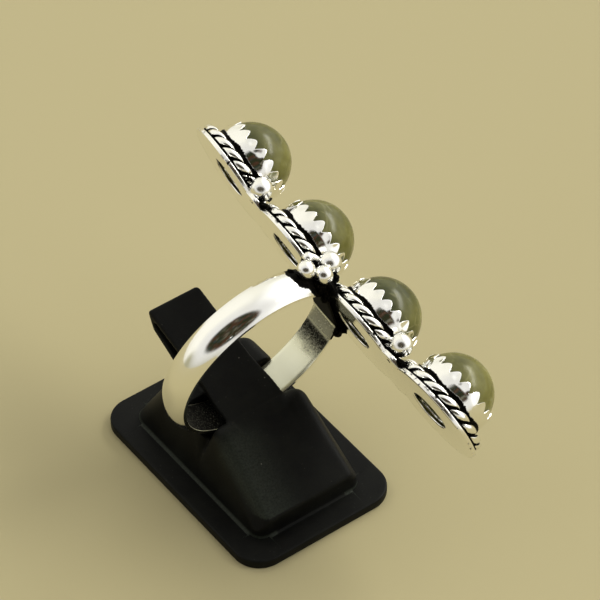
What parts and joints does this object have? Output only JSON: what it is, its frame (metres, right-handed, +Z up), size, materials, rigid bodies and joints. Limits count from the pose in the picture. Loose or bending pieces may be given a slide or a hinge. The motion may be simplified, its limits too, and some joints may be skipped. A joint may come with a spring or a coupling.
{
  "type": "labradorite ring on a display stand",
  "caption": "Full-finger silver ring: a row of round grey-green domes in saw-tooth bezels with rope rims on a half-round band, held in a plain black slotted display stand.",
  "frame": {"origin": "centre of the flat underside of the display stand", "axes": "+Z up; -Y is the stand's front with the low end of its ramp; +X is the stand's right, to which the ring's head leans"},
  "size_m": [0.0256, 0.0421, 0.0277],
  "materials": {
    "silver": "polished silver with black oxidised recesses",
    "labradorite": "polished grey-green translucent stone with a soft streak of light",
    "black_plastic": "matte black moulded plastic"
  },
  "bodies": {
    "root": {"ring_metal": "silver", "stone_1": "labradorite", "stone_2": "labradorite", "stone_3": "labradorite", "stone_4": "labradorite", "display_stand": "black_plastic"}
  },
  "joints": []
}
